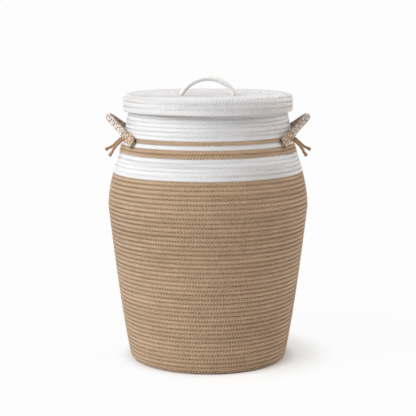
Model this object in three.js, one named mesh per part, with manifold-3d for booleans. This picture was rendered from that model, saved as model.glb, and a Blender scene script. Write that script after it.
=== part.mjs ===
// A lidded laundry basket made of coiled rope. One rope winds out from the middle of the base
// and up the wall, each turn stitched to the one below, in runs of jute and white cotton. The lid
// is coiled the same way, with a cord handle on top. Two braided rope handles are lashed to the wall.
// Millimetres, +Z up. The origin is the centre of the underside and -Y is the front.
import * as THREE from 'three';
import { mergeVertices } from 'three/addons/utils/BufferGeometryUtils.js';
import Module from 'manifold-3d';

const wasm = await Module();
wasm.setup();

// Rope and stitching
const wallThickness = 9;
const grooveDepth = 1.5;
const seamGap = 0.3;
const facets = 20;
const stepFacets = 4;
const bodyFrontClimb = 0.5;
const lidFrontClimb = 0.1;

// Outside face of the basket
const footRadius = 148.8;
const footCornerRadius = 10;
const footFlare = 0.2;
const taperControlHeight = 100;
const bellyRadius = 200;
const bellyHeight = 308;
const shoulderRoundness = 70;
const neckLength = 95;
const neckLean = 0.12;
const rimRadius = 154.5;
const rimHeight = 524;

// Turns of rope in each run of the wall, from the base up
const baseEdgeInset = 1;
const bodyTurns = 45;
const shoulderTurns = 5;
const lowerStripeTurns = 2;
const spacerTurns = 1;
const upperStripeTurns = 1;
const neckTurns = 9;
const bodyTopHeight = 376.3;

// Lid
const lidRadius = 168.7;
const lidCornerRadius = 10;
const lidDish = 6;
const lidSkirtDrop = 34.2;
const lidTopTurns = 15;
const lidRimTurns = 6;
const lidEdgeHeight = 12;

// Cord handle on the lid
const lidCordRadius = 5.1;
const lidCordHalfSpan = 51.2;
const lidCordRise = 34;
const lidCordTilt = 60;
const lidKnotRadius = 9;
const lidKnotHeight = 12;

// Braided side handles
const handleRopeRadius = 7.6;
const handleHeight = 457.5;
const handleSpreadAngle = 22.4;
const handleStandOff = 10.2;
const handleTilt = 41;
const handleReach = 43.3;
const loopFootSide = 37.5;
const loopFootOut = 3;
const loopTopSide = 17;
const ropeEndRadius = 8.6;
const ropeEndSetBack = 4;
const ropeEndDrop = 17;
const ropeEndSplay = 39;
const knotRadius = 3.6;
const knotInset = 9.5;
const knotDrop = 12;
const knotLift = 1;

// Loose cord tails, from where they leave their knots: outwards, towards the other leg, and up
const tailRadius = 2.6;
const frontTailRoute = [
  [0, 0, 0], [4, 0, -1.5], [12.4, 0.5, -9.1], [18.3, 1, -16], [23.3, 1.5, -24.8], [28.3, 2, -31.7],
];
const backTailRoute = [
  [0, 0, 0], [4, 0, -1], [12.5, 0, -7.5], [22.9, 0.5, -16.8], [31.1, 1, -24], [45.1, 2, -31.2],
];

// Faces round a rope, from pole to pole of a round end, and along each curve
const ropeSides = 10;
const cordSides = 8;
const ballRings = 6;
const loopSteps = 14;
const archSteps = 12;
const ropeEndSteps = 4;
const tailSteps = 6;

const degrees = Math.PI / 180;
const mergeDistance = 1e-3;

// Materials
const jute = { color: 0xc2a583, roughness: 0.95 };
const whiteCotton = { color: 0xe6e5e3, roughness: 0.9 };
const braid = { color: 0xc9b79f, roughness: 0.92 };
const smoothCord = { color: 0xe9e7e2, roughness: 0.8 };
const tailCord = { color: 0xa57e5b, roughness: 0.95 };

function piece(name, geometry, look) {
  const material = new THREE.MeshStandardMaterial({ ...look, metalness: 0 });
  const mesh = new THREE.Mesh(geometry, material);
  mesh.name = name;
  return mesh;
}

// Shared vertices merged, and triangles that shrank to a line left out
function closed(geometry) {
  const bare = new THREE.BufferGeometry();
  bare.setAttribute('position', geometry.getAttribute('position').clone());
  bare.setIndex(geometry.index ? geometry.index.clone() : null);
  const merged = mergeVertices(bare, mergeDistance);
  const kept = [];
  for (let first = 0; first < merged.index.count; first += 3) {
    const corners = [0, 1, 2].map((corner) => merged.index.getX(first + corner));
    if (new Set(corners).size === 3) {
      kept.push(...corners);
    }
  }
  merged.setIndex(kept);
  return merged;
}

// Join and cut closed geometries
function toSolid(geometry) {
  const whole = closed(geometry);
  return new wasm.Manifold(new wasm.Mesh({
    numProp: 3,
    vertProperties: new Float32Array(whole.getAttribute('position').array),
    triVerts: new Uint32Array(whole.index.array),
  }));
}

function toGeometry(solid) {
  const mesh = solid.getMesh();
  const geometry = new THREE.BufferGeometry();
  geometry.setAttribute('position', new THREE.BufferAttribute(mesh.vertProperties, 3));
  geometry.setIndex(new THREE.BufferAttribute(mesh.triVerts, 1));
  return geometry;
}

function cut(geometry, tools) {
  return toGeometry(tools.reduce((solid, tool) => solid.subtract(toSolid(tool)), toSolid(geometry)));
}

// A tube along a curve, with a many-sided round section and flat ends
function tube(curve, radius, sides, steps) {
  const section = new THREE.Shape();
  for (let side = 0; side < sides; side += 1) {
    const angle = (side / sides) * 2 * Math.PI;
    const x = radius * Math.cos(angle);
    const y = radius * Math.sin(angle);
    if (side === 0) {
      section.moveTo(x, y);
    } else {
      section.lineTo(x, y);
    }
  }
  return new THREE.ExtrudeGeometry(section, { steps, bevelEnabled: false, extrudePath: curve });
}

// A rope along a curve, with half a ball beyond each end
function roundEndedRope(curve, radius, steps) {
  const frames = curve.computeFrenetFrames(steps);
  const positions = [];
  const indices = [];
  const vertex = (point) => positions.push(point.x, point.y, point.z) / 3 - 1;
  const rings = [];
  const addRing = (step, elevation) => {
    const centre = curve.getPointAt(step / steps);
    centre.addScaledVector(frames.tangents[step], radius * Math.sin(elevation));
    const ring = [];
    for (let side = 0; side < ropeSides; side += 1) {
      const angle = side / ropeSides * 2 * Math.PI;
      const across = radius * Math.cos(elevation);
      ring.push(vertex(centre.clone()
        .addScaledVector(frames.normals[step], across * Math.cos(angle))
        .addScaledVector(frames.binormals[step], across * Math.sin(angle))));
    }
    rings.push(ring);
  };
  const capRings = ballRings / 2;
  for (let ring = capRings - 1; ring > 0; ring -= 1) {
    addRing(0, -Math.PI / 2 * ring / capRings);
  }
  for (let step = 0; step <= steps; step += 1) {
    addRing(step, 0);
  }
  for (let ring = 1; ring < capRings; ring += 1) {
    addRing(steps, Math.PI / 2 * ring / capRings);
  }
  const startPole = vertex(curve.getPointAt(0).addScaledVector(frames.tangents[0], -radius));
  const endPole = vertex(curve.getPointAt(1).addScaledVector(frames.tangents[steps], radius));
  const lastRing = rings[rings.length - 1];
  for (let side = 0; side < ropeSides; side += 1) {
    const next = (side + 1) % ropeSides;
    indices.push(startPole, rings[0][next], rings[0][side]);
    for (let ring = 1; ring < rings.length; ring += 1) {
      const [below, above] = [rings[ring - 1], rings[ring]];
      indices.push(below[side], below[next], above[next], below[side], above[next], above[side]);
    }
    indices.push(lastRing[side], lastRing[next], endPole);
  }
  const geometry = new THREE.BufferGeometry();
  geometry.setAttribute('position', new THREE.Float32BufferAttribute(positions, 3));
  geometry.setIndex(indices);
  return geometry;
}

function ball(centre, radius) {
  const sphere = new THREE.SphereGeometry(radius, ropeSides, ballRings);
  sphere.translate(centre.x, centre.y, centre.z);
  return sphere;
}

// The socket that clears a ball whichever way it turns
function socketRadius(ballRadius) {
  return (ballRadius + seamGap) / Math.cos(Math.PI / ropeSides);
}

// Outside face of the basket in radius and height, from the middle of the underside to the rim
function basketOutline() {
  const flareAngle = Math.atan(footFlare);
  const corner = new THREE.EllipseCurve(
    footRadius, footCornerRadius, footCornerRadius, footCornerRadius, -Math.PI / 2, -flareAngle,
  );
  const taperFoot = corner.getPoint(1);
  const taperControl = new THREE.Vector2(
    taperFoot.x + footFlare * (taperControlHeight - taperFoot.y), taperControlHeight,
  );
  const belly = new THREE.Vector2(bellyRadius, bellyHeight);
  const outline = new THREE.CurvePath();
  outline.add(new THREE.LineCurve(new THREE.Vector2(0, 0), new THREE.Vector2(footRadius, 0)));
  outline.add(corner);
  outline.add(new THREE.QuadraticBezierCurve(taperFoot, taperControl, belly));
  outline.add(new THREE.CubicBezierCurve(
    belly,
    new THREE.Vector2(bellyRadius, bellyHeight + shoulderRoundness),
    new THREE.Vector2(rimRadius + neckLean * neckLength, rimHeight - neckLength),
    new THREE.Vector2(rimRadius, rimHeight),
  ));
  return outline;
}

// Top face of the lid, from its middle over the rounded edge and down the skirt
function lidOutline() {
  const edgeSlope = Math.atan(2 * lidDish / (lidRadius - lidCornerRadius));
  const edgeRadius = lidRadius - lidCornerRadius * (1 + Math.sin(edgeSlope));
  const dish = edgeRadius * Math.tan(edgeSlope) / 2;
  const middle = rimHeight + seamGap + wallThickness - dish * (rimRadius / edgeRadius) ** 2;
  const edge = new THREE.Vector2(edgeRadius, middle + dish);
  const cornerHeight = edge.y - lidCornerRadius * Math.cos(edgeSlope);
  const outline = new THREE.CurvePath();
  outline.add(new THREE.QuadraticBezierCurve(
    new THREE.Vector2(0, middle), new THREE.Vector2(edgeRadius / 2, middle), edge,
  ));
  outline.add(new THREE.EllipseCurve(
    lidRadius - lidCornerRadius, cornerHeight, lidCornerRadius, lidCornerRadius,
    Math.PI / 2 + edgeSlope, 0, true,
  ));
  outline.add(new THREE.LineCurve(
    new THREE.Vector2(lidRadius, cornerHeight), new THREE.Vector2(lidRadius, edge.y - lidSkirtDrop),
  ));
  return outline;
}

// A face measured along its outline. A point is given by its distance from the middle and by how
// far it lies inside the face, which is to the left of the outline's direction or to the right.
function measuredFace(outline, insideWay) {
  const length = outline.getLength();
  const point = (distance, inset) => {
    const share = THREE.MathUtils.clamp(distance / length, 0, 1);
    const at = outline.getPoint(share);
    const along = outline.getTangent(share);
    return new THREE.Vector2(at.x - insideWay * along.y * inset, at.y + insideWay * along.x * inset);
  };
  return { length, point };
}

const basketFace = measuredFace(basketOutline(), 1);
const lidFace = measuredFace(lidOutline(), -1);

function lengthAtHeight(height) {
  let low = footRadius;
  let high = basketFace.length;
  for (let round = 0; round < 40; round += 1) {
    const middle = (low + high) / 2;
    if (basketFace.point(middle, 0).y < height) {
      low = middle;
    } else {
      high = middle;
    }
  }
  return (low + high) / 2;
}

function wallRadiusAt(height) {
  return basketFace.point(lengthAtHeight(height), 0).x;
}

// The rope climbs gently round the front and steps up onto the turn below at the back
function climbShare(facet, frontClimb) {
  const stepStart = facets - stepFacets;
  if (facet <= stepStart) {
    return frontClimb * facet / stepStart;
  }
  return frontClimb + (1 - frontClimb) * (facet - stepStart) / stepFacets;
}

// Length along the basket's outline that the rope has reached after a number of turns. The first
// turn of the wall lies flat round the base, just inside the corner.
const bodyTop = lengthAtHeight(bodyTopHeight);
const bodyPitch = (bodyTop - footRadius + baseEdgeInset) / (bodyTurns - 1);
const wallStart = footRadius - baseEdgeInset - bodyPitch;
const upperTurns = shoulderTurns + lowerStripeTurns + spacerTurns + upperStripeTurns + neckTurns;
const upperPitch = (basketFace.length - bodyTop) / upperTurns;

function basketReach(turns) {
  if (turns <= bodyTurns) {
    return wallStart + bodyPitch * turns;
  }
  return bodyTop + upperPitch * (turns - bodyTurns);
}

// The same for the lid, whose last turn is its thicker edge
const lidFullTurns = lidTopTurns + lidRimTurns - 1;
const lidPitch = (lidFace.length - lidEdgeHeight) / lidFullTurns;

function lidReach(turns) {
  if (turns <= lidFullTurns) {
    return Math.max(0, lidPitch * turns);
  }
  return lidPitch * lidFullTurns + lidEdgeHeight * (turns - lidFullTurns);
}

const basketCoil = { face: basketFace, reach: basketReach, frontClimb: bodyFrontClimb, turnWay: 1 };
const lidCoil = { face: lidFace, reach: lidReach, frontClimb: lidFrontClimb, turnWay: -1 };

// A point of the coil: facet 0 is at the back, and the basket winds up anticlockwise from above
function coilPoint(coil, facet, distance, inset, gapTurn) {
  const flat = coil.face.point(distance, inset);
  const backOff = flat.x > wallThickness ? gapTurn * seamGap / flat.x : 0;
  const angle = coil.turnWay * (facet / facets * 2 * Math.PI + backOff);
  return [-flat.x * Math.sin(angle), flat.x * Math.cos(angle), flat.y];
}

// Several turns of rope stitched into one wall. Each turn has a crest and a groove outside and a
// flat face inside. A level start or end tapers the rope away against the middle or the edge.
function coiledRun(coil, firstTurn, turns, { levelStart = false, levelEnd = false } = {}) {
  const positions = [];
  const indices = [];
  const outerRows = 2 * turns;
  const vertex = (point) => positions.push(...point) / 3 - 1;
  const reachOf = (facet, row) => {
    const climb = climbShare(facet, coil.frontClimb);
    const gapShare = facet / facets;
    if (row === 0) {
      return levelStart ? 0 : coil.reach(firstTurn + climb) + seamGap * (1 - gapShare);
    }
    if (row === outerRows) {
      const end = coil.reach(firstTurn + turns + climb);
      return levelEnd ? coil.face.length : end - seamGap * gapShare;
    }
    if (row % 2 === 1) {
      return (reachOf(facet, row - 1) + reachOf(facet, row + 1)) / 2;
    }
    return coil.reach(firstTurn + row / 2 + climb);
  };
  const lastJoinedRow = turns > 1 ? outerRows - 2 : -1;
  const gapTurnOf = (facet, row) => {
    if (facet === 0 && row < 2 && !levelStart) {
      return 1;
    }
    return facet === facets && row > lastJoinedRow && !levelEnd ? -1 : 0;
  };
  const outer = [];
  const inner = [];
  for (let facet = 0; facet <= facets; facet += 1) {
    outer.push([]);
    inner.push([]);
    for (let row = 0; row <= outerRows; row += 1) {
      const distance = reachOf(facet, row);
      const gapTurn = gapTurnOf(facet, row);
      const height = row % 2 === 1 ? reachOf(facet, row + 1) - reachOf(facet, row - 1) : 0;
      const inset = grooveDepth * Math.max(0, 1 - height / wallThickness);
      outer[facet].push(vertex(coilPoint(coil, facet, distance, inset, gapTurn)));
      if (row % 2 === 0) {
        inner[facet].push(vertex(coilPoint(coil, facet, distance, wallThickness, gapTurn)));
      }
    }
  }
  const quad = (a, b, c, d) => indices.push(a, b, c, a, c, d);
  for (let facet = 0; facet < facets; facet += 1) {
    const next = facet + 1;
    for (let row = 0; row < outerRows; row += 1) {
      quad(outer[facet][row], outer[next][row], outer[next][row + 1], outer[facet][row + 1]);
    }
    for (let turn = 0; turn < turns; turn += 1) {
      quad(inner[facet][turn + 1], inner[next][turn + 1], inner[next][turn], inner[facet][turn]);
    }
    quad(outer[facet][0], inner[facet][0], inner[next][0], outer[next][0]);
    quad(outer[facet][outerRows], outer[next][outerRows], inner[next][turns], inner[facet][turns]);
  }
  const startCap = [outer[0][0], outer[0][1], outer[0][2], inner[0][1], inner[0][0]];
  const endCap = [
    inner[facets][turns - 1], inner[facets][turns],
    outer[facets][outerRows], outer[facets][outerRows - 1], outer[facets][outerRows - 2],
  ];
  for (const cap of [startCap, endCap]) {
    quad(cap[0], cap[1], cap[2], cap[3]);
    indices.push(cap[0], cap[3], cap[4]);
  }
  const geometry = new THREE.BufferGeometry();
  geometry.setAttribute('position', new THREE.Float32BufferAttribute(positions, 3));
  geometry.setIndex(indices);
  return closed(geometry);
}

// The flat coiled base, cut off along the rope's spiral edge
function baseDisc() {
  const edge = new THREE.Shape();
  for (let facet = 0; facet <= facets; facet += 1) {
    const reach = basketReach(climbShare(facet, bodyFrontClimb));
    const radius = reach - seamGap * facet / facets;
    const backOff = facet === facets ? seamGap / radius : 0;
    const angle = facet / facets * 2 * Math.PI - backOff;
    const x = -radius * Math.sin(angle);
    const y = radius * Math.cos(angle);
    if (facet === 0) {
      edge.moveTo(x, y);
    } else {
      edge.lineTo(x, y);
    }
  }
  return new THREE.ExtrudeGeometry(edge, { depth: wallThickness, bevelEnabled: false });
}

// Wall and base
function basket() {
  const runs = [
    ['body_coils', bodyTurns, jute],
    ['shoulder_coils', shoulderTurns, whiteCotton],
    ['lower_stripe_coils', lowerStripeTurns, jute],
    ['spacer_coil', spacerTurns, whiteCotton],
    ['upper_stripe_coil', upperStripeTurns, jute],
    ['neck_coils', neckTurns, whiteCotton],
  ];
  const group = new THREE.Group();
  group.add(piece('base_coils', baseDisc(), jute));
  let turn = 0;
  for (const [name, turns, look] of runs) {
    const levelEnd = name === 'neck_coils';
    group.add(piece(name, coiledRun(basketCoil, turn, turns, { levelEnd }), look));
    turn += turns;
  }
  return group;
}

// Lid, with holes where the handle's cord goes through to its knots. The cord's feet turn a little
// above the lid, so that the arch can tilt to its limit without touching it.
const lidSurfaceAtFoot = lidFace.point(lidCordHalfSpan, 0).y;
const lidPivotRise = lidCordRadius * Math.sin(lidCordTilt * degrees) + 2 * seamGap;
const lidPivotHeight = lidSurfaceAtFoot + lidPivotRise;

function lidTop() {
  const holeRadius = lidCordRadius + seamGap;
  const holes = [-1, 1].map((side) => {
    const hole = new THREE.CylinderGeometry(holeRadius, holeRadius, 4 * wallThickness, ropeSides);
    hole.rotateX(Math.PI / 2);
    hole.translate(side * lidCordHalfSpan, 0, lidSurfaceAtFoot);
    return hole;
  });
  return cut(coiledRun(lidCoil, -1, lidTopTurns + 1, { levelStart: true }), holes);
}

function lidRim() {
  return coiledRun(lidCoil, lidTopTurns, lidRimTurns, { levelEnd: true });
}

// The cord's arch above the lid, with round feet that turn on the knotted ends
function lidHandleArch() {
  const apex = lidSurfaceAtFoot + lidCordRise;
  const rise = apex - lidPivotHeight;
  const radius = (lidCordHalfSpan ** 2 + rise ** 2) / (2 * rise);
  const footAngle = Math.asin(lidCordHalfSpan / radius);
  const points = [];
  for (let step = 0; step <= archSteps; step += 1) {
    const angle = footAngle * (2 * step / archSteps - 1);
    points.push(new THREE.Vector3(radius * Math.sin(angle), 0, apex - radius * (1 - Math.cos(angle))));
  }
  return roundEndedRope(new THREE.CatmullRomCurve3(points), lidCordRadius, archSteps);
}

// One end of the lid's cord: a stem through the lid and a knot below it
function lidCordEnd() {
  const seatRadius = lidCordRadius + seamGap;
  const dishRadius = Math.sqrt(seatRadius ** 2 - lidPivotRise ** 2);
  const stemTop = lidSurfaceAtFoot;
  const underside = lidFace.point(lidCordHalfSpan - lidKnotRadius, wallThickness).y;
  const knotTop = underside - seamGap;
  const knotBottom = knotTop - lidKnotHeight;
  const knotMiddle = (knotTop + knotBottom) / 2;
  const profile = [
    [0, knotBottom], [lidKnotRadius * 0.7, knotBottom + lidKnotHeight * 0.12],
    [lidKnotRadius, knotMiddle], [lidKnotRadius * 0.7, knotTop],
    [lidCordRadius, knotTop], [lidCordRadius, stemTop], [dishRadius, stemTop],
    [0, lidPivotHeight - seatRadius],
  ];
  const end = new THREE.LatheGeometry(profile.map(([x, y]) => new THREE.Vector2(x, y)), ropeSides);
  end.rotateX(Math.PI / 2);
  return closed(end);
}

function lid() {
  const group = new THREE.Group();
  group.add(piece('lid_top_coils', lidTop(), whiteCotton));
  group.add(piece('lid_rim_coils', lidRim(), whiteCotton));
  group.add(piece('lid_handle_cord', lidHandleArch(), smoothCord));
  for (const [name, side] of [['left', -1], ['right', 1]]) {
    const end = piece(`lid_handle_${name}_knot`, lidCordEnd(), smoothCord);
    end.position.x = side * lidCordHalfSpan;
    group.add(end);
  }
  return group;
}

// Side handles are drawn on the right, +X, and turned round for the left
const spread = handleSpreadAngle * degrees;
const tilt = handleTilt * degrees;
const pivotRadius = wallRadiusAt(handleHeight) + handleStandOff;
const pivotOut = pivotRadius * Math.cos(spread);
const pivotSide = pivotRadius * Math.sin(spread);
const reachWay = new THREE.Vector3(Math.cos(tilt), 0, Math.sin(tilt));

const trimReach = ropeEndDrop + 4 * ropeEndRadius;

// The basket's outside grown by the clearance, to trim what lies against the wall
function wallClearance() {
  const steps = 2 * Math.round(trimReach / wallThickness);
  const profile = [new THREE.Vector2(0, handleHeight - trimReach)];
  for (let step = 0; step <= steps; step += 1) {
    const height = handleHeight + (2 * step / steps - 1) * trimReach;
    const radius = wallRadiusAt(Math.min(height, rimHeight)) + seamGap / Math.cos(Math.PI / facets);
    profile.push(new THREE.Vector2(radius, height));
  }
  profile.push(new THREE.Vector2(0, handleHeight + trimReach));
  const solid = new THREE.LatheGeometry(profile, facets);
  solid.rotateX(Math.PI / 2);
  return solid;
}

const wallTrim = wallClearance();

// The braided rope from pivot to pivot, a bell-shaped loop with round ends
function handleLoop() {
  const half = new THREE.CubicBezierCurve(
    new THREE.Vector2(pivotSide, 0), new THREE.Vector2(loopFootSide, loopFootOut),
    new THREE.Vector2(loopTopSide, handleReach), new THREE.Vector2(0, handleReach),
  );
  const points = [];
  for (let step = 0; step <= loopSteps; step += 1) {
    const place = 2 * step / loopSteps - 1;
    const { x: aside, y: out } = half.getPoint(1 - Math.abs(place));
    points.push(new THREE.Vector3(
      pivotOut + out * reachWay.x, Math.sign(place) * aside, handleHeight + out * reachWay.z,
    ));
  }
  return roundEndedRope(new THREE.CatmullRomCurve3(points), handleRopeRadius, loopSteps);
}

function handlePivot(side) {
  return new THREE.Vector3(pivotOut, side * pivotSide, handleHeight);
}

// A place beside the wall, by its distance round from the X axis, its height and how far it stands off
function besideWall(angle, height, standOff, side) {
  const radius = wallRadiusAt(height) + standOff;
  return new THREE.Vector3(radius * Math.cos(angle), side * radius * Math.sin(angle), height);
}

// The rope end from the pivot along and down onto the wall. Side is 1 behind, -1 in front.
function ropeEndCurve(side) {
  const pivot = handlePivot(side);
  const endAngle = spread + ropeEndSplay / pivotRadius;
  const end = besideWall(endAngle, handleHeight - ropeEndDrop, 0, side);
  const control = besideWall((spread + endAngle) / 2, handleHeight - ropeEndDrop / 3, handleStandOff, side);
  const start = pivot.clone().addScaledVector(control.clone().sub(pivot).normalize(), ropeEndSetBack);
  return new THREE.QuadraticBezierCurve3(start, control, end);
}

function ropeEnd(side) {
  const seat = ball(handlePivot(side), socketRadius(handleRopeRadius));
  return cut(tube(ropeEndCurve(side), ropeEndRadius, ropeSides, ropeEndSteps), [wallTrim, seat]);
}

// The lashing knot on the wall below the loop's foot
function knotCentre(side) {
  const height = handleHeight - knotDrop;
  const radius = wallRadiusAt(height) + knotLift;
  return besideWall(Math.asin((pivotSide - knotInset) / radius), height, knotLift, side);
}

function knot(side) {
  return cut(ball(knotCentre(side), knotRadius), [wallTrim]);
}

// The loose tail that leaves the knot outwards and droops
function tail(side) {
  const route = side < 0 ? frontTailRoute : backTailRoute;
  const start = knotCentre(side).add(new THREE.Vector3(knotRadius + seamGap, 0, 0));
  const points = route.map(([out, inward, up]) => new THREE.Vector3(
    start.x + out, start.y - side * inward, start.z + up,
  ));
  return tube(new THREE.CatmullRomCurve3(points), tailRadius, cordSides, tailSteps);
}

// The same shape on the other side of the basket
function mirrored(geometry) {
  const flat = geometry.index ? geometry.toNonIndexed() : geometry.clone();
  flat.scale(-1, 1, 1);
  const corners = flat.getAttribute('position');
  for (let first = 0; first < corners.count; first += 3) {
    const second = new THREE.Vector3().fromBufferAttribute(corners, first + 1);
    const third = new THREE.Vector3().fromBufferAttribute(corners, first + 2);
    corners.setXYZ(first + 1, third.x, third.y, third.z);
    corners.setXYZ(first + 2, second.x, second.y, second.z);
  }
  return closed(flat);
}

function sideHandle(prefix, place) {
  const group = new THREE.Group();
  group.add(piece(`${prefix}_handle_rope`, place(handleLoop()), braid));
  for (const [leg, side] of [['front', -1], ['back', 1]]) {
    group.add(piece(`${prefix}_${leg}_rope_end`, place(ropeEnd(side)), jute));
    group.add(piece(`${prefix}_${leg}_knot`, place(knot(side)), tailCord));
    group.add(piece(`${prefix}_${leg}_tail`, place(tail(side)), tailCord));
  }
  return group;
}

const model = new THREE.Group();
model.add(basket());
model.add(lid());
model.add(sideHandle('right', closed));
model.add(sideHandle('left', mirrored));

export default model;
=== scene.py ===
import math

import bmesh
import bpy
import numpy as np
from mathutils import Matrix, Vector


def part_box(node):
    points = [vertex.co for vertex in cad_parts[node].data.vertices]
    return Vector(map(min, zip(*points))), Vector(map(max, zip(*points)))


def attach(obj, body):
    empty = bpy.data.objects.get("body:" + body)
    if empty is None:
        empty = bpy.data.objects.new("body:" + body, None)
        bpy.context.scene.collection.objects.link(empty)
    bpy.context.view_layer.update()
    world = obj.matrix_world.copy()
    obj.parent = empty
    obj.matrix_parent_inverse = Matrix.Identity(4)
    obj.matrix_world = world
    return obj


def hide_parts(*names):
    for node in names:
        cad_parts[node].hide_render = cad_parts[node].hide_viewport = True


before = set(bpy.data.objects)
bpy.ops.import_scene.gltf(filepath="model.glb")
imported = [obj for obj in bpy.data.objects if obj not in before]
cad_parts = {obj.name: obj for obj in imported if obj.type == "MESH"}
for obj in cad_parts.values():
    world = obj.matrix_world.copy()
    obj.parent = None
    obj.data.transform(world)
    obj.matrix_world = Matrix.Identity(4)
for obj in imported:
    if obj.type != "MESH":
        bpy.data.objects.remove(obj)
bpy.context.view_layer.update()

# Camera. It stands 2.5 m in front of the basket, a little above the lid, and looks down at it
# by some nine degrees.
photo_side = 416
focal_pixels = 1254.1
sensor_width = 36
camera_place = (0, -2.5, 0.6845)
camera_dip = 8.7


def placed(name, data):
    """An object of that name, put in the scene."""
    thing = bpy.data.objects.new(name, data)
    bpy.context.scene.collection.objects.link(thing)
    return thing


camera_data = bpy.data.cameras.new("camera")
camera_data.sensor_width = sensor_width
camera_data.lens = focal_pixels / photo_side * sensor_width
camera = placed("camera", camera_data)
camera.location = camera_place
camera.rotation_euler = (math.radians(90 - camera_dip), 0, 0)
bpy.context.scene.camera = camera
bpy.context.scene.view_settings.view_transform = "Standard"

# Floor. A wide pale studio floor that the basket stands on and throws its soft shadow on. Away
# from the basket the camera sees it fade into the white of the studio.
floor_half_width = 30
floor_grey = (0.85, 0.85, 0.85, 1)
studio_white = (0.98, 0.98, 0.98, 1)
edge_of_base = 0.151
most_faded = 0.97


class Wire:
    """A socket of the finish in hand. Sums and products on it add Math nodes."""

    tree = None

    def __init__(self, socket):
        self.socket = socket

    @classmethod
    def node(cls, kind, settings=None, inputs=None, outlet=0):
        node = cls.tree.nodes.new(kind)
        for name, value in (settings or {}).items():
            if name == "stops":
                elements = node.color_ramp.elements
                elements.remove(elements[1])
                for index, (place, colour) in enumerate(value):
                    stop = elements.new(place) if index else elements[0]
                    stop.position = place
                    stop.color = (*colour, 1)
            else:
                setattr(node, name, value)
        for name, value in (inputs or {}).items():
            if isinstance(value, Wire):
                cls.tree.links.new(value.socket, node.inputs[name])
            else:
                node.inputs[name].default_value = value
        return cls(node.outputs[outlet]) if node.outputs else None

    def outlet(self, index):
        return Wire(self.socket.node.outputs[index])

    def math(self, operation, *others):
        inputs = dict(enumerate((self, *others)))
        return self.node("ShaderNodeMath", {"operation": operation}, inputs)

    def __add__(self, other):
        return self.math("ADD", other)

    def __sub__(self, other):
        return self.math("SUBTRACT", other)

    def __mul__(self, other):
        return self.math("MULTIPLY", other)

    def __truediv__(self, other):
        return self.math("DIVIDE", other)

    def eased(self, low, high, start=0.0, end=1.0):
        """From start to end, smoothly, as this goes from low to high."""
        values = {"Value": self, "From Min": low, "From Max": high, "To Min": start, "To Max": end}
        return self.node("ShaderNodeMapRange", {"interpolation_type": "SMOOTHSTEP"}, values)


def finish_named(name):
    """A bare finish, ready for its nodes."""
    finish = bpy.data.materials.new(name)
    finish.use_nodes = True
    finish.node_tree.nodes.clear()
    Wire.tree = finish.node_tree
    return finish


def place_on_object():
    """Where on its object the surface is, in metres."""
    return Wire.node("ShaderNodeTexCoord", None, None, 3)


def split(vector):
    """A vector's three parts."""
    parts = Wire.node("ShaderNodeSeparateXYZ", None, {0: vector})
    return parts, parts.outlet(1), parts.outlet(2)


floor_shape = bmesh.new()
bmesh.ops.create_grid(floor_shape, x_segments=1, y_segments=1, size=floor_half_width)
floor_mesh = bpy.data.meshes.new("floor")
floor_shape.to_mesh(floor_mesh)
floor_shape.free()
floor = placed("floor", floor_mesh)
floor.data.materials.append(finish_named("pale_floor"))
painted = Wire.node("ShaderNodeBsdfDiffuse", None, {"Color": floor_grey})
glowing = Wire.node("ShaderNodeEmission", None, {"Color": studio_white, "Strength": 1.0})
seen = Wire.node("ShaderNodeLightPath")
here = place_on_object()
rightward = split(here)[0]
from_middle = Wire.node("ShaderNodeVectorMath", {"operation": "LENGTH"}, {0: here}, 1)
near_fade = from_middle.eased(edge_of_base, 0.187, 0.0, 0.5)
wide_fade = from_middle.eased(0.165, 0.27, 0.0, 0.47)
left_fade = from_middle.eased(edge_of_base, 0.175) * rightward.eased(-0.12, 0.08, 0.4, 0.0)
faded = (near_fade + wide_fade + left_fade).math("MINIMUM", most_faded)
shown = Wire.node("ShaderNodeMixShader", None, {0: seen * faded, 1: painted, 2: glowing})
Wire.node("ShaderNodeOutputMaterial", None, {"Surface": shown})

# Light. Broad soft lamps: the main one on the left in front of the basket, a low one beyond it on
# the right, and weak ones at the sides and above. The studio is white behind the basket. Each lamp
# has its degrees to the left of the front, its degrees above the floor, its strength and its tint.
lamp_spread = 50
cool_light = (0.98, 0.99, 1.0)
warm_light = (1.0, 0.94, 0.89)
white_light = (1.0, 1.0, 1.0)
lamps = (
    ("main_lamp", 60, 38, 2.8, cool_light),
    ("far_lamp", -120, 15, 1.7, warm_light),
    ("left_lamp", 90, 15, 0.7, white_light),
    ("right_lamp", -80, 48, 0.7, warm_light),
    ("top_lamp", 0, 75, 0.5, white_light),
)
surroundings = 0.05
for name, side, height, strength, tint in lamps:
    side, height = math.radians(side), math.radians(height)
    lamp_data = bpy.data.lights.new(name, "SUN")
    lamp_data.energy = strength
    lamp_data.color = tint
    lamp_data.angle = math.radians(lamp_spread)
    level = math.cos(height)
    toward = Vector((-math.sin(side) * level, -math.cos(side) * level, math.sin(height)))
    placed(name, lamp_data).rotation_euler = toward.to_track_quat("Z", "Y").to_euler()
studio = bpy.data.worlds.new("studio")
studio.use_nodes = True
studio.node_tree.nodes.clear()
bpy.context.scene.world = studio
Wire.tree = studio.node_tree
brightness = Wire.node("ShaderNodeLightPath") * (1 - surroundings) + surroundings
sky = Wire.node("ShaderNodeBackground", None, {"Color": studio_white, "Strength": brightness})
Wire.node("ShaderNodeOutputWorld", None, {"Surface": sky})

# Base. A flat spiral of jute rope, nine millimetres thick, which winds out from the middle with
# each turn sewn to the last. The same rope goes on up the wall.
blank_gap = 4


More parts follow.
